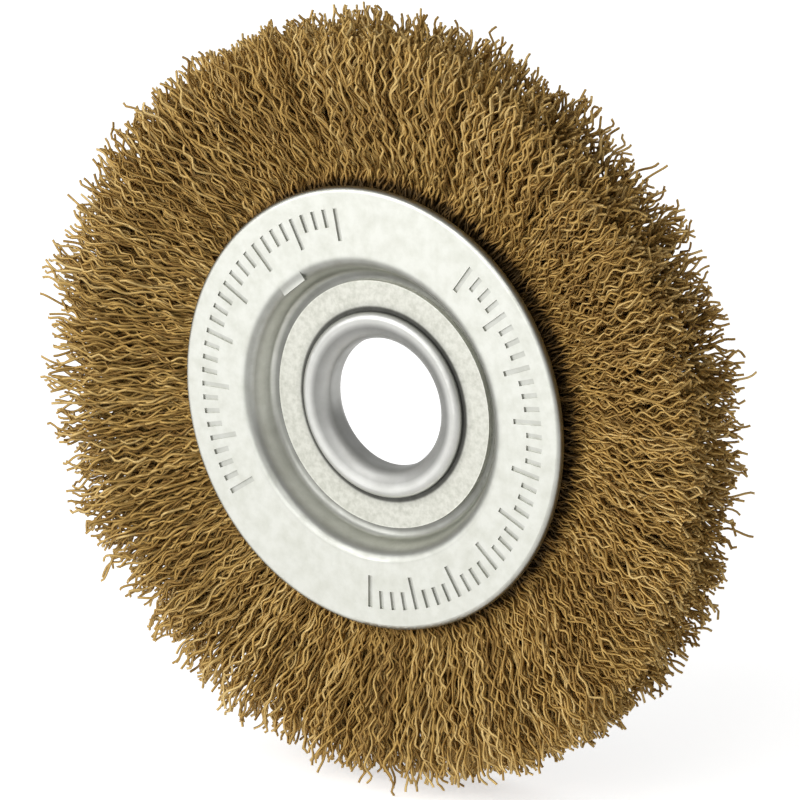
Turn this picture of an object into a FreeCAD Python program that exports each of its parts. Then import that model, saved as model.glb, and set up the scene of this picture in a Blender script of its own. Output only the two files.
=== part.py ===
import FreeCAD, Part
import math
import os

# Crimped wire wheel brush that is clamped on a half-inch grinder arbor.
# Millimetres and degrees. The wheel's axis is Y, its marked front looks along -Y, +Z is up,
# and the origin is the middle of the bore. "Height" below means distance out from the mid-plane.

# Arbor and the rolled hub sleeve
ARBOR_DIA = 12.7
ARBOR_CLEARANCE = 0.10      # radial, arbor to bore
SLEEVE_WALL = 0.6
BORE_LAND = 0.9             # straight length of the bore between its two bell mouths
LIP_DIA = 18.6              # outside of the lip that is rolled over at each end
LIP_THICK = 0.7
SEAT_CLEARANCE = 0.05       # radial, sleeve to the plates and washers that it passes through

# Hub washers under the lips
WASHER_DIA = 24.6
WASHER_THICK = 0.5
WASHER_GAP = 0.35           # radial, washer to the start of the dish's bend

# Pressed side plates
PLATE_DIA = 44.0
PLATE_STACK = 6.9           # from one plate's outer flat to the other's
SHEET = 0.7
DISH_WALL_RUN = 1.2         # radial run of the sloping wall from the dish's floor to the flat
DISH_BEND = 0.9             # bend from floor to wall, on the outer face
SHOULDER_BEND = 0.4         # bend from wall to flat, on the inner face
RIM_ROUND = 0.5             # rounding that blanking leaves on the rim's outer edge

# Plain scale of stamped strokes on the front plate, in two arcs as (first, last) angle from +X
MARK_ARCS = ((102.0, 214.0), (-90.0, 54.0))
MARK_STEP = 4.0
MARKS_PER_LONG_MARK = 4
MARK_LONG = 3.2
MARK_SHORT = 1.8
MARK_WIDTH = 0.5
MARK_DEPTH = 0.2

# Small pressed nib at the edge of the front plate's dish
NIB_ANGLE = 129.5
NIB_WIDTH = 3.1
NIB_REACH = 0.5             # past the corner of wall and flat, towards the axis
NIB_THICK = 0.4

# Keeper ring that the wires are folded over
KEEPER_WIRE_DIA = 1.8
KEEPER_CLEARANCE = 0.05

# Crimped wire, in tufts that are hooked side by side over the keeper ring
WHEEL_DIA = 76.0
FACE_WIDTH = 12.4           # across the wire ends at the rim
FACE_LAND = 5.0             # radial length at full width
WIRE_CLEARANCE = 0.1        # wire to the dishes' walls
RIM_GAP = 0.9               # wire to the plates' flats, which shows under the rim
TUFT_COUNT = 48
STRANDS_ACROSS = 3          # strands of one tuft along the rim
STRAND_LAYERS = 3           # strands of one tuft along the axis
STRAND_START = 0.3          # from the plates' rim to where the strands part
STRAND_ROOT_GAP = 0.1
STRAND_TIP_GAP = 0.6
TIP_STAGGER = 0.8           # by which every other strand is shorter
CRIMP_PITCH = 2.6
CRIMP_AMPLITUDE = 0.35

# Worked out from the sizes above
ORIGIN = FreeCAD.Vector(0, 0, 0)
AXIS = FreeCAD.Vector(0, 1, 0)
FRONT = -1
REAR = 1
bore_r = ARBOR_DIA / 2 + ARBOR_CLEARANCE
sleeve_r = bore_r + SLEEVE_WALL
hub_hole_r = sleeve_r + SEAT_CLEARANCE
plate_r = PLATE_DIA / 2
wheel_r = WHEEL_DIA / 2
flat_height = PLATE_STACK / 2
clamp_height = SHEET + WASHER_THICK
lip_height = clamp_height + LIP_THICK
lip_r = LIP_DIA / 2
crest_r = lip_r - LIP_THICK
wall_angle = math.atan2(flat_height - SHEET, DISH_WALL_RUN)
bend_share = math.tan(wall_angle / 2)
floor_corner_r = WASHER_DIA / 2 + WASHER_GAP + DISH_BEND * bend_share
shoulder_r = floor_corner_r + DISH_WALL_RUN
flat_inner_r = shoulder_r + (SHOULDER_BEND + SHEET) * bend_share
flat_outer_r = plate_r - RIM_ROUND
root_height = flat_height - SHEET - RIM_GAP
wall_inside_r = floor_corner_r + SHEET / math.sin(wall_angle) - SHEET / math.tan(wall_angle)
keeper_r = wall_inside_r + (root_height + WIRE_CLEARANCE) / math.sin(wall_angle)
root_r = keeper_r - root_height
part_r = plate_r + STRAND_START
land_r = wheel_r - FACE_LAND


def point(radius, height, side=FRONT):
    """A point of a turned profile, drawn in the X-Y plane on one side of the mid-plane."""
    return FreeCAD.Vector(radius, side * height, 0)


def line(start, end):
    return Part.LineSegment(start, end).toShape()


def arc_about(centre, radius, start_deg, end_deg):
    """An arc in the X-Y plane, from one angle to the other the short way round."""
    def at(angle):
        turn = math.radians(angle)
        return centre + FreeCAD.Vector(radius * math.cos(turn), radius * math.sin(turn), 0)
    return Part.Arc(at(start_deg), at((start_deg + end_deg) / 2), at(end_deg)).toShape()


def bent_path(corners, bends):
    """Straight runs through the corners, each inner corner rounded by a tangent bend."""
    edges = []
    start = corners[0]
    for before, corner, after, bend in zip(corners, corners[1:], corners[2:], bends):
        arriving = (before - corner).normalize()
        leaving = (after - corner).normalize()
        half_angle = arriving.getAngle(leaving) / 2
        setback = bend / math.tan(half_angle)
        first = corner + arriving * setback
        last = corner + leaving * setback
        inward = (arriving + leaving).normalize()
        middle = corner + inward * (bend / math.sin(half_angle) - bend)
        edges.append(line(start, first))
        edges.append(Part.Arc(first, middle, last).toShape())
        start = last
    edges.append(line(start, corners[-1]))
    return Part.Wire(edges)


def turned(profile):
    """The solid that a closed profile sweeps about the wheel's axis."""
    return profile.revolve(ORIGIN, AXIS, 360)


def spun(shape, angle):
    """A copy turned about the wheel's axis, from +X towards +Z."""
    copy = shape.copy()
    copy.rotate(ORIGIN, AXIS, -angle)
    return copy


def side_plate(side):
    """Dished sheet plate: flat with a rounded rim, sloping wall, and a floor on the mid-plane."""
    outer_face = bent_path(
        [point(plate_r, flat_height, side),
         point(shoulder_r, flat_height, side),
         point(floor_corner_r, SHEET, side),
         point(hub_hole_r, SHEET, side)],
        [SHEET + SHOULDER_BEND, DISH_BEND])
    plate = turned(outer_face.makeOffset2D(-side * SHEET, fill=True, openResult=True))
    circles = [edge for edge in plate.Edges if isinstance(edge.Curve, Part.Circle)]
    rim = max(circles, key=lambda edge: (edge.Curve.Radius, side * edge.Curve.Center.y))
    return plate.makeFillet(RIM_ROUND, [rim])


def flat_block(inner_r, outer_r, width, low, high, angle):
    """A radial bar on the front, between two radii and two heights."""
    block = Part.makeBox(outer_r - inner_r, high - low, width,
                         FreeCAD.Vector(inner_r, -high, -width / 2))
    return spun(block, angle)


def scale_marks():
    """Stamped strokes whose outer ends line up, every few of them long."""
    outer_r = (flat_inner_r + flat_outer_r + MARK_LONG) / 2
    strokes = []
    for first, last in MARK_ARCS:
        steps = round((last - first) / MARK_STEP)
        for index in range(steps + 1):
            is_long = index % MARKS_PER_LONG_MARK == 0
            length = MARK_LONG if is_long else MARK_SHORT
            strokes.append(flat_block(outer_r - length, outer_r, MARK_WIDTH,
                                      flat_height - MARK_DEPTH, flat_height + MARK_DEPTH,
                                      first + index * (last - first) / steps))
    return strokes


def front_plate():
    nib = flat_block(shoulder_r - NIB_REACH, flat_inner_r, NIB_WIDTH,
                     flat_height - NIB_THICK, flat_height, NIB_ANGLE)
    return side_plate(FRONT).fuse(nib).removeSplitter().cut(scale_marks())


def hub_washer(side):
    corners = [point(hub_hole_r, SHEET, side), point(WASHER_DIA / 2, SHEET, side),
               point(WASHER_DIA / 2, clamp_height, side), point(hub_hole_r, clamp_height, side)]
    return turned(Part.Face(Part.makePolygon(corners + corners[:1])))


def bell_mouth(side):
    """A quarter of an ellipse in the X-Y plane, from the straight bore out to the lip's crest."""
    curve = Part.BezierCurve()
    curve.setPoles([point(bore_r, BORE_LAND / 2, side), point(bore_r, lip_height, side),
                    point(crest_r, lip_height, side)])
    curve.setWeight(2, math.sqrt(0.5))
    return curve.toShape()


def hub_sleeve():
    """Tube through the hub with a bell mouth and a rolled lip over the washer at each end."""
    edges = [line(point(bore_r, BORE_LAND / 2, FRONT), point(bore_r, BORE_LAND / 2, REAR))]
    for side in (FRONT, REAR):
        edges += [
            line(point(sleeve_r, 0, side), point(sleeve_r, clamp_height, side)),
            line(point(sleeve_r, clamp_height, side), point(lip_r, clamp_height, side)),
            arc_about(point(crest_r, clamp_height, side), LIP_THICK, 0, 90 * side),
            bell_mouth(side)]
    return turned(Part.Face(Part.Wire(Part.sortEdges(edges)[0]))).removeSplitter()


def keeper_ring():
    return Part.makeTorus(keeper_r, KEEPER_WIRE_DIA / 2, ORIGIN, AXIS)


def tuft_half_width(along):
    """Half of one tuft's share of the circle, at a distance out from the axis."""
    return along * math.tan(math.pi / TUFT_COUNT)


def tuft_root():
    """The inner end of a tuft along +X: folded round the keeper, then straight between the plates."""
    edges = [arc_about(point(keeper_r, 0), root_height, 90, 270),
             line(point(keeper_r, root_height, FRONT), point(part_r, root_height, FRONT)),
             line(point(part_r, root_height, FRONT), point(part_r, root_height, REAR)),
             line(point(part_r, root_height, REAR), point(keeper_r, root_height, REAR))]
    section = Part.Face(Part.Wire(Part.sortEdges(edges)[0]))
    half_width = tuft_half_width(part_r)
    section.translate(FreeCAD.Vector(0, 0, -half_width))
    bar = section.extrude(FreeCAD.Vector(0, 0, 2 * half_width))
    corners = []
    for along, side in ((root_r, 1), (part_r, 1), (part_r, -1), (root_r, -1)):
        edge = tuft_half_width(along) - STRAND_ROOT_GAP / 2
        corners.append(FreeCAD.Vector(along, -root_height, side * edge))
    wedge = Part.Face(Part.makePolygon(corners + corners[:1])).extrude(AXIS * 2 * root_height)
    keeper_hole = Part.makeTorus(keeper_r, KEEPER_WIRE_DIA / 2 + KEEPER_CLEARANCE, ORIGIN, AXIS)
    return bar.common(wedge).cut(keeper_hole)


def band(half, count, number, gap):
    """Low and high side of one of several equal bands between -half and half, with gaps between them."""
    share = 2 * half / count
    return number * share - half + gap / 2, (number + 1) * share - half - gap / 2


def wire_strand(across, layer):
    """One crimped strand of a tuft along +X: a bar that zigzags, flares and grows towards its tip."""
    tip_r = wheel_r - TIP_STAGGER * ((across + layer) % 2)
    rows = round((tip_r - part_r) / (CRIMP_PITCH / 2))
    rings = []
    for row in range(rows + 1):
        along = part_r + row * (tip_r - part_r) / rows
        share = (along - part_r) / (wheel_r - part_r)
        gap = STRAND_ROOT_GAP + share * (STRAND_TIP_GAP - STRAND_ROOT_GAP)
        flare = min(1, (along - part_r) / (land_r - part_r))
        half_height = root_height + flare * (FACE_WIDTH / 2 - root_height)
        front, rear = band(half_height + gap / 2, STRAND_LAYERS, layer, gap)
        right, left = band(tuft_half_width(along), STRANDS_ACROSS, across, gap)
        sway = CRIMP_AMPLITUDE * (-1) ** (row + layer) if row else 0
        rings.append([FreeCAD.Vector(along, height, place + sway)
                      for height, place in ((front, right), (rear, right), (rear, left), (front, left))])
    outlines = [rings[0], rings[-1]]
    for inner, outer in zip(rings, rings[1:]):
        outlines += [[inner[i - 1], inner[i], outer[i], outer[i - 1]] for i in range(len(inner))]
    shell = Part.makeShell([Part.Face(Part.makePolygon(outline + outline[:1])) for outline in outlines])
    return Part.makeSolid(shell)


def wire_tuft():
    """A tuft along +X: its folded root and the strands that fan out of it."""
    strands = [wire_strand(across, layer)
               for across in range(STRANDS_ACROSS) for layer in range(STRAND_LAYERS)]
    return tuft_root().fuse(strands).removeSplitter()


def export(node, shape):
    assert shape.isValid() and shape.Volume > 0, node
    solid = shape.Solids[0] if len(shape.Solids) == 1 else shape
    solid.exportStep(f"parts/{node}.step")


os.makedirs("parts", exist_ok=True)
export("front_plate", front_plate())
export("rear_plate", side_plate(REAR))
export("front_hub_washer", hub_washer(FRONT))
export("rear_hub_washer", hub_washer(REAR))
export("hub_sleeve", hub_sleeve())
export("keeper_ring", keeper_ring())
tuft = wire_tuft()
for number in range(TUFT_COUNT):
    export(f"wire_tuft_{number + 1:02d}", spun(tuft, number * 360 / TUFT_COUNT))
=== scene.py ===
"""Looks of a crimped wire wheel brush: plated hub, brass-coated wires and a plain studio."""

import logging
import math
from dataclasses import dataclass
from enum import Enum
from typing import Any

import bpy
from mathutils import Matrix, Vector


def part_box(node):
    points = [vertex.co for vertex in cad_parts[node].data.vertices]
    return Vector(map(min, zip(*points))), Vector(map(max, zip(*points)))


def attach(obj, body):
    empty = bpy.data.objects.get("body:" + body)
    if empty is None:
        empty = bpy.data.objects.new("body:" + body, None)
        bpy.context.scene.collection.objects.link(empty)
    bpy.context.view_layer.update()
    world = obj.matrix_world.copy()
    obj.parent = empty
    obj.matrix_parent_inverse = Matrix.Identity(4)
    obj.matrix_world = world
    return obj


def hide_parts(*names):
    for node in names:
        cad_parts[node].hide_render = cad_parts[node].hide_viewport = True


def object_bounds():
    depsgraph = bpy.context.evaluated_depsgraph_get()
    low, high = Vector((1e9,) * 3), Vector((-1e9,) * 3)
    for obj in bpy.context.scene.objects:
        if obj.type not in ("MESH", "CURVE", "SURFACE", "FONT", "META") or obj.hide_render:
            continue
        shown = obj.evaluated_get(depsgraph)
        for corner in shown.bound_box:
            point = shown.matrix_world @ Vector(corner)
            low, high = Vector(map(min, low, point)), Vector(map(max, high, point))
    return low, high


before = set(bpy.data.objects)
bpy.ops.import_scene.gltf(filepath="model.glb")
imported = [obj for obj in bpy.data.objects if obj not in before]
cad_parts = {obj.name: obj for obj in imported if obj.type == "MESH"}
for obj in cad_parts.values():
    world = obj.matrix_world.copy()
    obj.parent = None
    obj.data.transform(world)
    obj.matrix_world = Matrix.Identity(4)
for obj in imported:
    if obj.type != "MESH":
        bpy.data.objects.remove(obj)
CAD_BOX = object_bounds()

Colour = tuple[float, float, float, float]

LOG = logging.getLogger("wire_wheel")
MM = 0.001
BODY = "root"
PHOTO_SIDE = 800
SENSOR_WIDTH = 36.0
WHITE = (1.0, 1.0, 1.0, 1.0)
WHEEL_AXIS = (0.0, 1.0, 0.0)
ACROSS_AXIS = (1.0, 0.0, 1.0)
WIRE_NODE = "wire_tuft_{:02d}"
TONE = "wire_tone"
BAKE_MAP = "OFBake"


def linear(hex_colour: str) -> Colour:
    """Turns an sRGB hex colour to linear.

    Args:
        hex_colour: Six hex digits with a leading hash.

    Returns:
        Linear red, green and blue, with an alpha of 1.
    """
    channels = [int(hex_colour[i:i + 2], 16) / 255 for i in (1, 3, 5)]
    low = [c / 12.92 if c <= 0.04045 else ((c + 0.055) / 1.055) ** 2.4 for c in channels]
    return (low[0], low[1], low[2], 1.0)


def per_metre(size_mm: float) -> float:
    """Gives the texture scale at which one feature of a pattern is this many millimetres."""
    return 1.0 / (size_mm * MM)


def add_node(tree: bpy.types.NodeTree, kind: str, *inputs: Any, named: dict[str, Any] | None = None,
             stops: tuple[tuple[float, Colour], ...] = (), **settings: Any) -> bpy.types.Node:
    """Adds a node with its settings, values and links.

    Args:
        tree: The node tree that gets the node.
        kind: The node's type name, with its operation after a dot where it has one.
        inputs: Values or output sockets for the first inputs, in order.
        named: Values or output sockets by input name.
        stops: Places and colours of a colour ramp's stops, from low to high.
        settings: Properties of the node itself.

    Returns:
        The new node.
    """
    type_name, _, operation = kind.partition(".")
    node = tree.nodes.new(type_name)
    if operation:
        node.operation = operation
    for name, value in settings.items():
        setattr(node, name, value)
    for number, (position, colour) in enumerate(stops):
        elements = node.color_ramp.elements
        stop = elements[number] if number < len(elements) else elements.new(1.0)
        stop.position = position
        stop.color = colour
    usable = [socket for socket in node.inputs if socket.enabled]
    pairs = list(zip(usable, inputs))
    pairs += [(next(s for s in usable if s.name == name), value) for name, value in (named or {}).items()]
    for socket, value in pairs:
        if isinstance(value, bpy.types.NodeSocket):
            tree.links.new(value, socket)
        else:
            socket.default_value = value
    return node


def new_material(name: str) -> tuple[bpy.types.Material, bpy.types.NodeTree, bpy.types.Node]:
    """Makes a material that holds a principled shader.

    Args:
        name: What the real material is.

    Returns:
        The material, its node tree and the shader node.
    """
    material = bpy.data.materials.new(name)
    material.use_nodes = True
    shader = material.node_tree.nodes["Principled BSDF"]
    return material, material.node_tree, shader


@dataclass(frozen=True)
class HubMetal:
    """Steel of the hub, zinc-plated or bare: silvery, cloudy and finely grained, with painted shade by
    radius.
    """

    name: str
    pale: str
    dull: str
    cloud_mm: float
    # The real grain is finer than the render's pixels, so it is drawn as coarse as it needs to show
    grain_mm: float
    grain_depth_mm: float
    roughness: float
    roughness_span: float
    # Stops of painted shade: (millimetres from the wheel's axis, share of the brightness that is left there)
    painted_shade: tuple[tuple[float, float], ...] = ((0.0, 1.0), (25.0, 1.0))

    CLOUD_NOISE = {"Detail": 4.0, "Roughness": 0.6}
    GRAIN_NOISE = {"Detail": 2.0, "Roughness": 0.55}
    # Values of the cloud noise at which the metal is wholly dull and wholly pale
    CLOUD_ENDS = (0.3, 0.62)
    # Values of the cloud noise between which the roughness falls
    POLISH_ENDS = (0.3, 0.7)

    @staticmethod
    def radius(tree: bpy.types.NodeTree, place: bpy.types.NodeSocket) -> bpy.types.NodeSocket:
        """Adds a place's distance from the wheel's axis and gives its socket."""
        flat = add_node(tree, "ShaderNodeVectorMath.MULTIPLY", place, ACROSS_AXIS).outputs[0]
        return add_node(tree, "ShaderNodeVectorMath.LENGTH", flat).outputs["Value"]

    def shade(self, tree: bpy.types.NodeTree, place: bpy.types.NodeSocket) -> bpy.types.NodeSocket:
        """Adds the painted shade that darkens the metal from place to place.

        Args:
            tree: The material's node tree.
            place: Places in metres.

        Returns:
            The share of the brightness that is left.
        """
        reach = self.painted_shade[-1][0]
        share = add_node(tree, "ShaderNodeMath.DIVIDE", self.radius(tree, place), reach * MM).outputs[0]
        stops = tuple((distance / reach, (left, left, left, 1.0)) for distance, left in self.painted_shade)
        return add_node(tree, "ShaderNodeValToRGB", share, stops=stops).outputs["Color"]

    def material(self) -> bpy.types.Material:
        """Builds the metal's material.

        Returns:
            The material, named for the metal and how its surface was made.
        """
        material, tree, shader = new_material(self.name)
        place = add_node(tree, "ShaderNodeTexCoord").outputs["Object"]
        cloud = add_node(tree, "ShaderNodeTexNoise", place,
                         named={"Scale": per_metre(self.cloud_mm)} | self.CLOUD_NOISE).outputs["Fac"]
        grain = add_node(tree, "ShaderNodeTexNoise", place,
                         named={"Scale": per_metre(self.grain_mm)} | self.GRAIN_NOISE).outputs["Fac"]
        tints = (linear(self.dull), linear(self.pale))
        colour = add_node(tree, "ShaderNodeValToRGB", cloud, stops=tuple(zip(self.CLOUD_ENDS, tints)))
        shaded = add_node(tree, "ShaderNodeVectorMath.SCALE", colour.outputs["Color"],
                          named={"Scale": self.shade(tree, place)})
        rough = add_node(tree, "ShaderNodeMapRange", cloud, *self.POLISH_ENDS,
                         self.roughness + self.roughness_span, self.roughness - self.roughness_span)
        bump = add_node(tree, "ShaderNodeBump", named={
            "Strength": 1.0, "Distance": self.grain_depth_mm * MM, "Height": grain})
        tree.links.new(shaded.outputs[0], shader.inputs["Base Color"])
        tree.links.new(rough.outputs["Result"], shader.inputs["Roughness"])
        tree.links.new(bump.outputs["Normal"], shader.inputs["Normal"])
        shader.inputs["Metallic"].default_value = 1.0
        return material


@dataclass(frozen=True)
class StampedSheet(HubMetal):
    """Plated sheet, with painted shade on its flats and in its stamped strokes."""

    # Painted shade on the flats between these heights, holding back their reflection of the key lamp
    flat_height_mm: tuple[float, float] = (2.3, 2.9)
    flat_shade_left: float = 0.76
    # Painted shade in the stamped strokes, from their edge down to their depth, within this band of radii
    stroke_band_mm: tuple[float, float] = (15.8, 21.3)
    stroke_depth_mm: float = 0.12
    stroke_edge_mm: float = 0.02
    stroke_shade_left: float = 0.82

    def shade(self, tree: bpy.types.NodeTree, place: bpy.types.NodeSocket) -> bpy.types.NodeSocket:
        """Adds the painted shade by radius, on the flats and in the strokes.

        Args:
            tree: The material's node tree.
            place: Places in metres.

        Returns:
            The share of the brightness that is left.
        """
        shade_left = super().shade(tree, place)
        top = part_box("rear_plate")[1].y
        axial = add_node(tree, "ShaderNodeSeparateXYZ", place).outputs["Y"]
        height = add_node(tree, "ShaderNodeMath.ABSOLUTE", axial).outputs[0]
        left = add_node(tree, "ShaderNodeMapRange", height, top - self.stroke_depth_mm * MM,
                        top - self.stroke_edge_mm * MM, self.stroke_shade_left, 1.0).outputs["Result"]
        radius = self.radius(tree, place)
        for beyond, edge in zip(("LESS_THAN", "GREATER_THAN"), self.stroke_band_mm):
            outside = add_node(tree, f"ShaderNodeMath.{beyond}", radius, edge * MM).outputs[0]
            left = add_node(tree, "ShaderNodeMath.MAXIMUM", left, outside).outputs[0]
        shade_left = add_node(tree, "ShaderNodeMath.MULTIPLY", shade_left, left).outputs[0]
        low, high = (edge * MM for edge in self.flat_height_mm)
        flat_shade = add_node(tree, "ShaderNodeMapRange", height, low, high, 1.0, self.flat_shade_left)
        return add_node(tree, "ShaderNodeMath.MULTIPLY", shade_left, flat_shade.outputs["Result"]).outputs[0]


class HubFinish(Enum):
    """Finishes of the hub's pieces."""

    # Pressed, then plated: nearly white flats, with painted shade where the sheet bends, at its shoulder and
    # round its rim
    SHEET = StampedSheet(
        name="bright zinc-plated pressed steel", pale="#E5E6DE", dull="#D5D6CC", cloud_mm=1.8,
        grain_mm=0.35, grain_depth_mm=0.004, roughness=0.4, roughness_span=0.04,
        painted_shade=((0.0, 0.45), (12.3, 0.3), (12.75, 0.25), (13.0, 0.32), (13.4, 0.85), (13.8, 1.0), (14.1, 0.85),
              (14.5, 0.55), (14.8, 0.55), (15.1, 0.9), (15.4, 1.0), (21.5, 1.0), (22.0, 0.45), (25.0, 0.45)))
    # Left rough under its plating: matt, speckled and warmer, with a painted shadow beside the lip
    WASHER = HubMetal(
        name="dull zinc-plated washer steel", pale="#DDDDD3", dull="#C8C8BD", cloud_mm=0.5,
        grain_mm=0.2, grain_depth_mm=0.01, roughness=0.46, roughness_span=0.05,
        painted_shade=((0.0, 0.1), (9.65, 0.1), (9.85, 0.62), (10.4, 0.76), (12.2, 0.76), (12.3, 1.0), (25.0, 1.0)))
    # Drawn tube with a rolled lip: the smoothest, a soft sheen; painted shade in the bell mouth and outside
    # the lip
    SLEEVE = HubMetal(
        name="smooth zinc-plated rolled tube", pale="#CACAC6", dull="#C0C0BB", cloud_mm=2.5,
        grain_mm=0.5, grain_depth_mm=0.002, roughness=0.45, roughness_span=0.04,
        painted_shade=((0.0, 0.7), (6.9, 0.7), (7.4, 0.5), (7.7, 0.42), (8.0, 0.6), (8.3, 0.85), (8.8, 0.9),
              (9.15, 0.85), (9.3, 0.25), (25.0, 0.25)))
    # Drawn wire without plating: darker, brownish grey
    KEEPER = HubMetal(
        name="bare mild steel hoop", pale="#8E8B84", dull="#6C6962", cloud_mm=1.5,
        grain_mm=0.3, grain_depth_mm=0.004, roughness=0.45, roughness_span=0.1)


@dataclass(frozen=True)
class BrassCoatedWire:
    """Drawn steel wire with a thin brass coat: satin gold, browner where the coat is thin, no two alike."""

    name: str = "brass-coated steel wire"
    # Stops of (tone, colour): painted shade and dust at the roots, thin coat, whole coat, bright coat
    coat: tuple[tuple[float, str], ...] = (
        (0.0, "#4A3717"), (0.15, "#8D6C36"), (0.5, "#BB9955"), (0.95, "#DEC386"))
    metallic: float = 0.58
    roughness: float = 0.58
    # Real scuffs are finer than the render's pixels, so they are drawn as coarse as they need to show
    scuff_mm: float = 0.9
    scuff_detail: float = 2.0
    scuff_share: float = 0.5

    def material(self) -> bpy.types.Material:
        """Builds the wire's material, whose tone follows the attribute that each wire carries.

        Returns:
            The material, named for the metal and its coat.
        """
        material, tree, shader = new_material(self.name)
        tone = add_node(tree, "ShaderNodeAttribute", attribute_name=TONE).outputs["Fac"]
        place = add_node(tree, "ShaderNodeTexCoord").outputs["Object"]
        scuff = add_node(tree, "ShaderNodeTexNoise", place,
                         named={"Scale": per_metre(self.scuff_mm), "Detail": self.scuff_detail})
        mixed = add_node(tree, "ShaderNodeMath.MULTIPLY_ADD", scuff.outputs["Fac"], self.scuff_share, tone)
        centred = add_node(tree, "ShaderNodeMath.SUBTRACT", mixed.outputs[0], self.scuff_share / 2)
        tints = tuple((position, linear(shade)) for position, shade in self.coat)
        colour = add_node(tree, "ShaderNodeValToRGB", centred.outputs[0], stops=tints)
        tree.links.new(colour.outputs["Color"], shader.inputs["Base Color"])
        shader.inputs["Metallic"].default_value = self.metallic
        shader.inputs["Roughness"].default_value = self.roughness
        return material


@dataclass
class PlatedHub:
    """Side plates, washers, sleeve and keeper ring, which keep their CAD shapes and get finishes here."""

    pieces: tuple[tuple[str, HubFinish], ...] = (
        ("front_plate", HubFinish.SHEET), ("rear_plate", HubFinish.SHEET),
        ("front_hub_washer", HubFinish.WASHER), ("rear_hub_washer", HubFinish.WASHER),
        ("hub_sleeve", HubFinish.SLEEVE), ("keeper_ring", HubFinish.KEEPER))

    def dress(self) -> None:
        """Gives each CAD node of the hub its finish."""
        made = {finish: finish.value.material() for finish in HubFinish}
        for node, finish in self.pieces:
            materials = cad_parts[node].data.materials
            materials.clear()
            materials.append(made[finish])
            LOG.info("%s: %s", node, made[finish].name)


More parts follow.
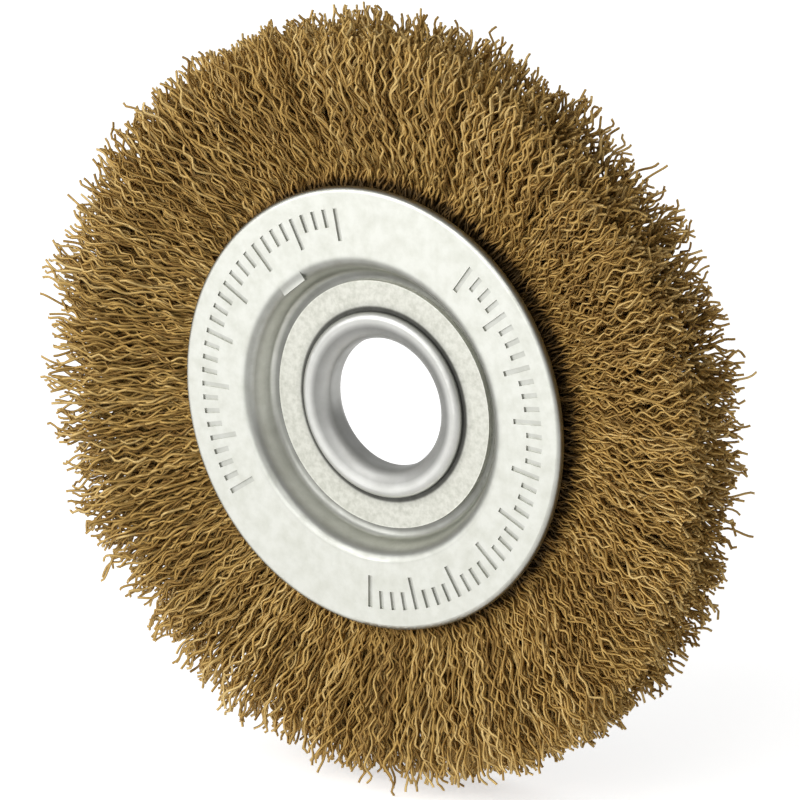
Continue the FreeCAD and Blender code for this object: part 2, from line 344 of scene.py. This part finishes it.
class WireTree:
    """Geometry node tree that lays one sector of crimped wires, with named inputs for its sizes.

    A wire is a row of points. Each is placed as (out, axial, sideways) and then turned to the wire's angle.
    Wires are drawn together in locks, and within a lock in small hanks that are crimped alike.
    """

    COUNTS = ("Wires", "Stray Wires", "Points per Wire", "Sides", "Seed")
    LENGTHS = ("Root Radius", "Pinch Radius", "Land Radius", "Tip Radius", "Last Tip Radius", "Tip Scatter",
               "Lock Scatter", "Crown", "Stray Reach", "Root Height", "Pinch Height", "Face Height",
               "Wire Radius", "Crimp Pitch", "Crimp Height", "Wander", "Dive")
    NUMBERS = ("Start Angle", "Sweep", "Lock Scale", "Hank Scale", "Gather")
    DRIFTS = ("Lock Drift", "Wire Drift")
    FINISH = "Wire Finish"

    # Steps of the plastic number's sequence, which fills a square evenly with any count of points
    EVEN_STEPS = (0.7548777, 0.5698403)
    # Chances run from -1 to 1, and the step keeps the seeds of one sector apart from the next one's
    CHANCE_ENDS = ((-1.0, -1.0, -1.0), (1.0, 1.0, 1.0))
    SEED_STEP = 16.0

    # A wire's own lean starts on the far side of its line and ends on the near one, so that wires cross
    LEAN_GROWTH = 1.3
    LEAN_START = -0.35
    # Powers of the way along a wire with which its lock bends it and draws it in
    BEND_POWER = 1.6
    GATHER_POWER = 2.4
    # Shares of the axial lean and bow that the wires on the two faces don't have
    FACE_LEAN_HELD = 0.85
    FACE_BOW_HELD = 0.8

    # Waves of the slow wander for each wave of the crimp, and how far it shifts the crimp, in waves
    WANDER_RATE = 0.36
    WANDER_SHIFT = 0.16
    STRAY_WANDER = 2.0
    # What a wire has by itself, beside what it shares with its hank
    OWN_PHASE = 0.5
    OWN_PLANE = 0.6
    PLANE_SPREAD = 1.3
    ROOT_CRIMP = 0.85

    MEAN_TONE = 0.43
    OWN_TONE = 0.24
    HANK_TONE = 0.12
    # The tips are lighter from this share of the way along a wire
    BRIGHT_FROM = 0.6
    BRIGHT_TIP = 0.15

    # Shares of a wire's column of the bake map that its section and its length take up
    BAKE_WIDTH = 0.6
    BAKE_LENGTH = 0.98

    def __init__(self, name: str) -> None:
        """Builds the tree.

        Args:
            name: Name of the node group.
        """
        self.tree = bpy.data.node_groups.new(name, "GeometryNodeTree")
        self.identifiers: dict[str, str] = {}
        for labels, socket_type in ((self.COUNTS, "NodeSocketInt"), (self.LENGTHS, "NodeSocketFloat"),
                                    (self.NUMBERS, "NodeSocketFloat"), (self.DRIFTS, "NodeSocketVector"),
                                    ((self.FINISH,), "NodeSocketMaterial")):
            for label in labels:
                socket = self.tree.interface.new_socket(label, in_out="INPUT", socket_type=socket_type)
                self.identifiers[label] = socket.identifier
        self.tree.interface.new_socket("Geometry", in_out="OUTPUT", socket_type="NodeSocketGeometry")
        self.given = self.tree.nodes.new("NodeGroupInput").outputs
        self._number_points()
        self._draw_chances()
        line = self._line()
        bent = self._add("ShaderNodeVectorMath.ADD", line, self._lean())
        places = self._turned(self._add("ShaderNodeVectorMath.ADD", bent, self._crimp()))
        tubes = self._with_bake_map(self._tubes(places, self._tone()))
        whole = self._add("GeometryNodeRealizeInstances", self._add("GeometryNodeSetShadeSmooth", tubes))
        dressed = self._add("GeometryNodeSetMaterial", whole, named={"Material": self.given[self.FINISH]})
        add_node(self.tree, "NodeGroupOutput", dressed)

    def _add(self, kind: str, *inputs: Any, **settings: Any) -> bpy.types.NodeSocket:
        """Adds a node and gives its first output."""
        return add_node(self.tree, kind, *inputs, **settings).outputs[0]

    def _turned(self, place: bpy.types.NodeSocket, invert: bool = False) -> bpy.types.NodeSocket:
        """Turns a place of (out, axial, sideways) about the wheel's axis to its wire's angle.

        Args:
            place: The place, or with invert a place in the wheel's frame.
            invert: Turns the other way, out of the wheel's frame.

        Returns:
            The turned place.
        """
        back = self._add("ShaderNodeMath.MULTIPLY", self.angle, -1.0)
        return self._add("ShaderNodeVectorRotate", place, named={"Axis": WHEEL_AXIS, "Angle": back},
                         rotation_type="AXIS_ANGLE", invert=invert)

    def _number_points(self) -> None:
        """Works out each point's wire and share of the way along it, and the wire's angle, layer and tip."""
        add, given = self._add, self.given
        index = add("GeometryNodeInputIndex")
        points = given["Points per Wire"]
        middle = add("ShaderNodeMath.ADD", index, 0.5)
        self.wire = add("ShaderNodeMath.FLOOR", add("ShaderNodeMath.DIVIDE", middle, points))
        step = add("ShaderNodeMath.MODULO", index, points)
        self.along = add("ShaderNodeMath.DIVIDE", step, add("ShaderNodeMath.SUBTRACT", points, 1.0))
        place, level = (add("ShaderNodeMath.FRACT", add("ShaderNodeMath.MULTIPLY", self.wire, jump))
                        for jump in self.EVEN_STEPS)
        self.angle = add("ShaderNodeMath.MULTIPLY_ADD", place, given["Sweep"], given["Start Angle"])
        self.trimmed = add("ShaderNodeMapRange", place, 0.0, 1.0, given["Tip Radius"],
                           given["Last Tip Radius"])
        self.layer = add("ShaderNodeMath.MULTIPLY_ADD", level, 2.0, -1.0)
        self.outerness = add("ShaderNodeMath.POWER", self.layer, 2.0)
        first_stray = add("ShaderNodeMath.SUBTRACT", given["Wires"], given["Stray Wires"])
        number = add("ShaderNodeMath.ADD", self.wire, 0.5)
        self.stray = add("ShaderNodeMath.GREATER_THAN", number, first_stray)

    def _draw_chances(self) -> None:
        """Draws what the wires of a lock and of a small hank share, and what each wire has by itself."""
        add, given = self._add, self.given
        height = add("ShaderNodeMath.MULTIPLY", self.layer, given["Face Height"])
        spot = self._turned(add("ShaderNodeCombineXYZ", given["Land Radius"], height, 0.0))
        lock_cell, hank_cell = (
            add_node(self.tree, "ShaderNodeTexVoronoi", spot, named={"Scale": given[scale]}).outputs
            for scale in ("Lock Scale", "Hank Scale"))
        self.lock, hank = (
            add("ShaderNodeVectorMath.MULTIPLY_ADD", cell["Color"], (2.0, 2.0, 2.0), (-1.0, -1.0, -1.0))
            for cell in (lock_cell, hank_cell))
        away = add("ShaderNodeVectorMath.SUBTRACT", lock_cell["Position"], spot)
        self.to_lock = self._turned(away, invert=True)
        own = []
        for stream in range(3):
            seed = add("ShaderNodeMath.MULTIPLY_ADD", given["Seed"], self.SEED_STEP, float(stream))
            own.append(add("FunctionNodeRandomValue", *self.CHANCE_ENDS,
                           named={"ID": self.wire, "Seed": seed}, data_type="FLOAT_VECTOR"))
        self.own_lean = own[0]
        lock_parts, hank_parts, form_parts, sway_parts = (
            add_node(self.tree, "ShaderNodeSeparateXYZ", chance).outputs
            for chance in (self.lock, hank, own[1], own[2]))
        self.lock_short = lock_parts[0]
        self.hank_phase, self.hank_plane, self.hank_tone = hank_parts
        self.own_plane, self.own_short, self.own_tone = form_parts
        self.own_phase, self.bow, self.sway = sway_parts

    def _line(self) -> bpy.types.NodeSocket:
        """Gives each point's place on its wire's straight middle line, and keeps its radius.

        Returns:
            Places of (out, axial, sideways).
        """
        add, given = self._add, self.given
        tip = add("ShaderNodeMath.MULTIPLY_ADD", self.stray, given["Stray Reach"], self.trimmed)
        for chance, scatter in ((self.lock_short, "Lock Scatter"), (self.own_short, "Tip Scatter")):
            share = add("ShaderNodeMath.MULTIPLY_ADD", chance, 0.5, -0.5)
            tip = add("ShaderNodeMath.MULTIPLY_ADD", share, given[scatter], tip)
        crown = add("ShaderNodeMath.MULTIPLY", self.outerness, given["Crown"])
        tip = add("ShaderNodeMath.SUBTRACT", tip, crown)
        root, pinch = given["Root Radius"], given["Pinch Radius"]
        least = given["Pinch Height"]
        self.radius = add("ShaderNodeMapRange", self.along, 0.0, 1.0, root, tip)
        taper = add("ShaderNodeMapRange", self.radius, root, pinch, given["Root Height"], least)
        flare = add("ShaderNodeMapRange", self.radius, pinch, given["Land Radius"], least,
                    given["Face Height"])
        height = add("ShaderNodeMath.MULTIPLY", self.layer, add("ShaderNodeMath.MAXIMUM", taper, flare))
        return add("ShaderNodeCombineXYZ", self.radius, height, 0.0)

    def _lean(self) -> bpy.types.NodeSocket:
        """Gives the drift that grows along a wire: its own, its lock's, and towards its lock's middle.

        Returns:
            Shifts of (nothing, axial, sideways).
        """
        add, given = self._add, self.given
        crossing = add("ShaderNodeMath.MULTIPLY_ADD", self.along, self.LEAN_GROWTH, self.LEAN_START)
        own = add("ShaderNodeVectorMath.MULTIPLY", self.own_lean, given["Wire Drift"])
        own = add("ShaderNodeVectorMath.SCALE", own, named={"Scale": crossing})
        drawn = add("ShaderNodeMath.POWER", self.along, self.GATHER_POWER)
        closing = add("ShaderNodeMath.MULTIPLY", drawn, given["Gather"])
        gather = add("ShaderNodeVectorMath.SCALE", self.to_lock, named={"Scale": closing})
        drift = add("ShaderNodeVectorMath.MULTIPLY", self.lock, given["Lock Drift"])
        drift = add("ShaderNodeVectorMath.ADD", drift, gather)
        bent = add("ShaderNodeMath.POWER", self.along, self.BEND_POWER)
        drift = add("ShaderNodeVectorMath.SCALE", drift, named={"Scale": bent})
        drift = add("ShaderNodeVectorMath.ADD", drift, own)
        free = add("ShaderNodeMath.MULTIPLY_ADD", self.outerness, -self.FACE_LEAN_HELD, 1.0)
        return add("ShaderNodeVectorMath.MULTIPLY", drift, add("ShaderNodeCombineXYZ", 0.0, free, 1.0))

    def _crimp(self) -> bpy.types.NodeSocket:
        """Gives the crimp's wave, nearly in step and in plane within a hank, with a slow wander on top.

        Returns:
            Shifts of (nothing, axial, sideways).
        """
        add, given = self._add, self.given
        turns = add("ShaderNodeMath.DIVIDE", self.radius, given["Crimp Pitch"])
        slow = add("ShaderNodeMath.MULTIPLY_ADD", turns, self.WANDER_RATE, self.own_phase)
        slow = add("ShaderNodeMath.SINE", add("ShaderNodeMath.MULTIPLY", slow, math.tau))

        phase = add("ShaderNodeMath.MULTIPLY_ADD", self.own_phase, self.OWN_PHASE, self.hank_phase)
        phase = add("ShaderNodeMath.MULTIPLY_ADD", slow, self.WANDER_SHIFT, phase)
        phase = add("ShaderNodeMath.MULTIPLY", add("ShaderNodeMath.ADD", turns, phase), math.tau)
        loose = add("ShaderNodeMapRange", self.radius, given["Root Radius"], given["Land Radius"],
                    self.ROOT_CRIMP, 1.0)
        height = add("ShaderNodeMath.MULTIPLY", loose, given["Crimp Height"])
        wave = add("ShaderNodeMath.MULTIPLY", add("ShaderNodeMath.SINE", phase), height)
        plane = add("ShaderNodeMath.MULTIPLY_ADD", self.own_plane, self.OWN_PLANE, self.hank_plane)
        plane = add("ShaderNodeMath.MULTIPLY", plane, self.PLANE_SPREAD)
        across = add("ShaderNodeCombineXYZ", 0.0, add("ShaderNodeMath.SINE", plane),
                     add("ShaderNodeMath.COSINE", plane))
        crimp = add("ShaderNodeVectorMath.SCALE", across, named={"Scale": wave})

        reach = add("ShaderNodeMath.MULTIPLY_ADD", self.stray, self.STRAY_WANDER, 1.0)
        reach = add("ShaderNodeMath.MULTIPLY", reach, given["Wander"])
        reach = add("ShaderNodeMath.MULTIPLY", reach, self.along)
        free = add("ShaderNodeMath.MULTIPLY_ADD", self.outerness, -self.FACE_BOW_HELD, 1.0)
        bow = add("ShaderNodeMath.MULTIPLY", self.bow, free)
        wander = add("ShaderNodeVectorMath.SCALE", add("ShaderNodeCombineXYZ", 0.0, bow, self.sway),
                     named={"Scale": add("ShaderNodeMath.MULTIPLY", slow, reach)})
        crimp = add("ShaderNodeVectorMath.ADD", crimp, wander)

        dive = add("ShaderNodeMath.MULTIPLY_ADD", slow, -0.5, -0.5)
        dive = add("ShaderNodeMath.MULTIPLY", dive, given["Dive"])
        inward = add("ShaderNodeCombineXYZ", 0.0, add("ShaderNodeMath.MULTIPLY", self.layer, dive), 0.0)
        return add("ShaderNodeVectorMath.ADD", crimp, inward)

    def _tone(self) -> bpy.types.NodeSocket:
        """Gives each point's tone: the wire's own, darker beside the plates with painted shade and dust, and
        brighter at the tip.

        Returns:
            Tones from 0 to about 1.
        """
        add, pinch = self._add, self.given["Pinch Radius"]
        tone = add("ShaderNodeMath.MULTIPLY_ADD", self.own_tone, self.OWN_TONE, self.MEAN_TONE)
        tone = add("ShaderNodeMath.MULTIPLY_ADD", self.hank_tone, self.HANK_TONE, tone)
        # Painted shade of the plates' rim, with dust, darkens the wires towards their roots
        shaded = add("ShaderNodeMath.SUBTRACT", pinch, self.given["Pinch Height"])
        shade_and_dust_left = add("ShaderNodeMapRange", self.radius, shaded, pinch, 0.0, 1.0)
        tone = add("ShaderNodeMath.MULTIPLY", tone, shade_and_dust_left)
        tip = add("ShaderNodeMapRange", self.along, self.BRIGHT_FROM, 1.0, 0.0, self.BRIGHT_TIP)
        return add("ShaderNodeMath.ADD", tone, tip)

    def _tubes(self, places: bpy.types.NodeSocket, tone: bpy.types.NodeSocket) -> bpy.types.NodeSocket:
        """Joins the points to curves and gives these a section with few sides.

        Args:
            places: The points' places.
            tone: The points' tones.

        Returns:
            The wires as tubes, which carry the tone and where they lie on their wire.
        """
        add, given = self._add, self.given
        count = add("ShaderNodeMath.MULTIPLY", given["Wires"], given["Points per Wire"])
        cloud = add("GeometryNodePoints", count, places)
        for name, value in ((TONE, tone), ("along", self.along), ("wire", self.wire)):
            cloud = add("GeometryNodeStoreNamedAttribute", cloud, named={"Name": name, "Value": value},
                        data_type="FLOAT", domain="POINT")
        curves = add("GeometryNodePointsToCurves", cloud, self.wire, self.along)
        ring = add("GeometryNodeCurvePrimitiveCircle", given["Sides"],
                   named={"Radius": given["Wire Radius"]})
        turn = add("ShaderNodeMath.DIVIDE", add("GeometryNodeInputIndex"), given["Sides"])
        ring = add("GeometryNodeStoreNamedAttribute", ring, named={"Name": "turn", "Value": turn},
                   data_type="FLOAT", domain="POINT")
        return add("GeometryNodeCurveToMesh", curves, ring, named={"Fill Caps": True})

    def _with_bake_map(self, tubes: bpy.types.NodeSocket) -> bpy.types.NodeSocket:
        """Gives the tubes a map for the export's bake, with a column for each wire.

        Args:
            tubes: The wires as tubes.

        Returns:
            The tubes with the map.
        """
        add = self._add
        along, wire, turn = (add("GeometryNodeInputNamedAttribute", name, data_type="FLOAT")
                             for name in ("along", "wire", "turn"))
        inset = add("ShaderNodeMath.MULTIPLY_ADD", turn, self.BAKE_WIDTH, (1.0 - self.BAKE_WIDTH) / 2)
        column = add("ShaderNodeMath.DIVIDE", add("ShaderNodeMath.ADD", wire, inset), self.given["Wires"])
        row = add("ShaderNodeMath.MULTIPLY_ADD", along, self.BAKE_LENGTH, (1.0 - self.BAKE_LENGTH) / 2)
        spot = add("ShaderNodeCombineXYZ", column, row, 0.0)
        return add("GeometryNodeStoreNamedAttribute", tubes, named={"Name": BAKE_MAP, "Value": spot},
                   data_type="FLOAT2", domain="CORNER")

    def make(self, name: str, sizes: dict[str, Any]) -> bpy.types.Object:
        """Lays one sector of wires as a plain mesh.

        Args:
            name: Name of the piece.
            sizes: A value for each of the tree's inputs.

        Returns:
            The piece, at the origin.
        """
        carrier = bpy.data.objects.new(name, bpy.data.meshes.new(name))
        bpy.context.scene.collection.objects.link(carrier)
        modifier = carrier.modifiers.new("wires", "NODES")
        modifier.node_group = self.tree
        for label, value in sizes.items():
            modifier[self.identifiers[label]] = value
        evaluated = carrier.evaluated_get(bpy.context.evaluated_depsgraph_get())
        mesh = bpy.data.meshes.new_from_object(evaluated)
        carrier.modifiers.remove(modifier)
        old = carrier.data
        carrier.data = mesh
        bpy.data.meshes.remove(old)
        mesh.name = name
        return carrier


@dataclass
class WireFilling:
    """The crimped wire between the plates, in sectors that each stand for a few tufts."""

    tufts: int = 48
    tufts_per_sector: int = 4
    wires_per_sector: int = 600
    strays_per_sector: int = 3
    points_per_wire: int = 44
    # A wire is too thin for its section to show, so it has as few sides as it can
    sides: int = 3
    wire_diameter: float = 0.29 * MM
    crimp_pitch: float = 2.5 * MM
    crimp_height: float = 0.31 * MM
    lock_size_mm: float = 2.6
    lock_drift: tuple[float, float, float] = (0.0, 0.3 * MM, 0.8 * MM)
    gather: float = 0.65
    hank_size_mm: float = 1.3
    wire_drift: tuple[float, float, float] = (0.0, 0.8 * MM, 2.3 * MM)
    wander: float = 0.6 * MM
    dive: float = 1.0 * MM
    tip_scatter: float = 1.8 * MM
    lock_scatter: float = 1.7 * MM
    crown: float = -0.4 * MM
    # How far the tips stand past the CAD's radius at each sector's first edge: they aren't cut quite round
    trim_mm: tuple[float, ...] = (0.7, 0.3, 0.0, 0.5, 0.4, 0.6, 0.4, 0.0, -0.8, -0.4, 0.4, 0.7)
    stray_reach: float = 0.1 * MM
    root_depth: float = 2.4 * MM
    root_height: float = 2.3 * MM
    pinch_reach: float = 1.2 * MM
    pinch_height: float = 1.2 * MM
    land: float = 5.0 * MM
    edge_margin: float = 0.35 * MM
    seed: int = 11
    finish: BrassCoatedWire = BrassCoatedWire()

    def build(self) -> list[bpy.types.Object]:
        """Builds every sector of wires.

        Returns:
            The pieces, one for each sector.
        """
        tree = WireTree("crimped wire sector")
        plate_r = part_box("front_plate")[1].x
        wheel_r, face = CAD_BOX[1].x, CAD_BOX[1].y
        pitch = math.tau / self.tufts
        sizes = {
            "Wires": self.wires_per_sector, "Stray Wires": self.strays_per_sector,
            "Points per Wire": self.points_per_wire, "Sides": self.sides,
            "Sweep": self.tufts_per_sector * pitch,
            "Root Radius": plate_r - self.root_depth, "Pinch Radius": plate_r + self.pinch_reach,
            "Land Radius": wheel_r - self.land,
            "Tip Scatter": self.tip_scatter, "Lock Scatter": self.lock_scatter,
            "Crown": self.crown, "Stray Reach": self.stray_reach,
            "Root Height": self.root_height, "Pinch Height": self.pinch_height,
            "Face Height": face - self.edge_margin,
            "Wire Radius": self.wire_diameter / 2, "Crimp Pitch": self.crimp_pitch,
            "Crimp Height": self.crimp_height, "Wander": self.wander, "Dive": self.dive,
            "Lock Scale": per_metre(self.lock_size_mm), "Lock Drift": self.lock_drift,
            "Gather": self.gather, "Hank Scale": per_metre(self.hank_size_mm),
            "Wire Drift": self.wire_drift, "Wire Finish": self.finish.material()}
        tips = [wheel_r + trim * MM for trim in self.trim_mm]
        pieces = []
        for sector in range(self.tufts // self.tufts_per_sector):
            first = sector * self.tufts_per_sector
            own = {"Seed": self.seed + sector, "Start Angle": (first - 0.5) * pitch,
                   "Tip Radius": tips[sector], "Last Tip Radius": tips[(sector + 1) % len(tips)]}
            piece = tree.make(f"wire_sector_{sector + 1:02d}", sizes | own)
            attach(piece, BODY)
            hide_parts(*(WIRE_NODE.format(first + n + 1) for n in range(self.tufts_per_sector)))
            LOG.info("%s: %d faces", piece.name, len(piece.data.polygons))
            pieces.append(piece)
        return pieces


@dataclass(frozen=True)
class Softbox:
    """A square lamp that faces the wheel, with its place and side in metres and its power in watts."""

    name: str
    place: tuple[float, float, float]
    side: float
    watts: float

    def hang(self) -> None:
        """Hangs the lamp in the studio."""
        light = bpy.data.lights.new(self.name, "AREA")
        light.size = self.side
        light.energy = self.watts
        lamp = bpy.data.objects.new(self.name, light)
        lamp.location = self.place
        lamp.rotation_mode = "QUATERNION"
        lamp.rotation_quaternion = (-Vector(self.place)).to_track_quat("-Z", "Y")
        bpy.context.scene.collection.objects.link(lamp)


@dataclass
class Studio:
    """White floor, soft lamps and the camera at the photograph's angle."""

    azimuth: float = 34.77
    elevation: float = 16.88
    distance: float = 1.0
    pixels_per_mm: float = 10.36
    centre_pixel: tuple[float, float] = (390.6, 401.5)
    floor_side: float = 40.0
    floor_colour: str = "#F4F4F4"
    floor_lift: float = 0.55
    sky_left: float = 0.7
    sky_right: float = 0.36
    softboxes: tuple[Softbox, ...] = (
        Softbox("key_softbox", place=(-0.52, -0.95, 0.34), side=0.8, watts=7.4),
        Softbox("fill_softbox", place=(0.2, -0.9, 0.5), side=0.6, watts=2.2))

    def floor(self) -> None:
        """Lays the floor under the wheel's rim, white to the camera and with the wheel's shadow on it."""
        half = self.floor_side / 2
        low = CAD_BOX[0].z
        corners = [(-half, -half, low), (half, -half, low), (half, half, low), (-half, half, low)]
        mesh = bpy.data.meshes.new("floor")
        mesh.from_pydata(corners, [], [(0, 1, 2, 3)])
        plane = bpy.data.objects.new("floor", mesh)
        bpy.context.scene.collection.objects.link(plane)
        # Matt white paint: no gloss, only the light that falls on it and a lift to the photograph's white
        material, tree, shader = new_material("matt white studio floor")
        shader.inputs["Base Color"].default_value = linear(self.floor_colour)
        shader.inputs["Roughness"].default_value = 1.0
        shader.inputs["Specular IOR Level"].default_value = 0.0
        path = add_node(tree, "ShaderNodeLightPath").outputs
        seen = add_node(tree, "ShaderNodeMath.ADD", path["Is Camera Ray"], path["Is Glossy Ray"]).outputs[0]
        seen = add_node(tree, "ShaderNodeMath.ADD", seen, path["Is Transmission Ray"]).outputs[0]
        lift = add_node(tree, "ShaderNodeMath.MULTIPLY", seen, self.floor_lift).outputs[0]
        shader.inputs["Emission Color"].default_value = WHITE
        tree.links.new(lift, shader.inputs["Emission Strength"])
        mesh.materials.append(material)

    def light(self) -> None:
        """Sets the sky, brighter on the left, and hangs the lamps."""
        scene = bpy.context.scene
        scene.view_settings.view_transform = "Standard"
        scene.world = bpy.data.worlds.new("studio sky")
        scene.world.use_nodes = True
        tree = scene.world.node_tree
        background = tree.nodes["Background"]
        background.inputs["Color"].default_value = WHITE
        direction = add_node(tree, "ShaderNodeTexCoord").outputs["Generated"]
        sideways = add_node(tree, "ShaderNodeSeparateXYZ", direction).outputs["X"]
        glow = add_node(tree, "ShaderNodeMapRange", sideways, -1.0, 1.0, self.sky_left, self.sky_right)
        tree.links.new(glow.outputs["Result"], background.inputs["Strength"])
        for softbox in self.softboxes:
            softbox.hang()

    def camera(self) -> None:
        """Places the camera by its angle, distance and the pixel that the wheel's centre falls on."""
        turn, lift = math.radians(self.azimuth), math.radians(self.elevation)
        back = Vector((math.sin(turn) * math.cos(lift), -math.cos(turn) * math.cos(lift), math.sin(lift)))
        data = bpy.data.cameras.new("photo_camera")
        data.sensor_width = SENSOR_WIDTH
        data.lens = self.pixels_per_mm / MM * self.distance * SENSOR_WIDTH / PHOTO_SIDE
        data.shift_x = 0.5 - self.centre_pixel[0] / PHOTO_SIDE
        data.shift_y = self.centre_pixel[1] / PHOTO_SIDE - 0.5
        camera = bpy.data.objects.new("photo_camera", data)
        camera.location = back * self.distance
        camera.rotation_mode = "QUATERNION"
        camera.rotation_quaternion = (-back).to_track_quat("-Z", "Y")
        bpy.context.scene.collection.objects.link(camera)
        bpy.context.scene.camera = camera

    def build(self) -> None:
        """Sets up the floor, the light and the camera."""
        self.floor()
        self.light()
        self.camera()


def main() -> None:
    """Dresses the frame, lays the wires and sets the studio."""
    logging.basicConfig(level=logging.INFO, format="%(message)s")
    Studio().build()
    PlatedHub().dress()
    WireFilling().build()


if __name__ == "__main__":
    main()
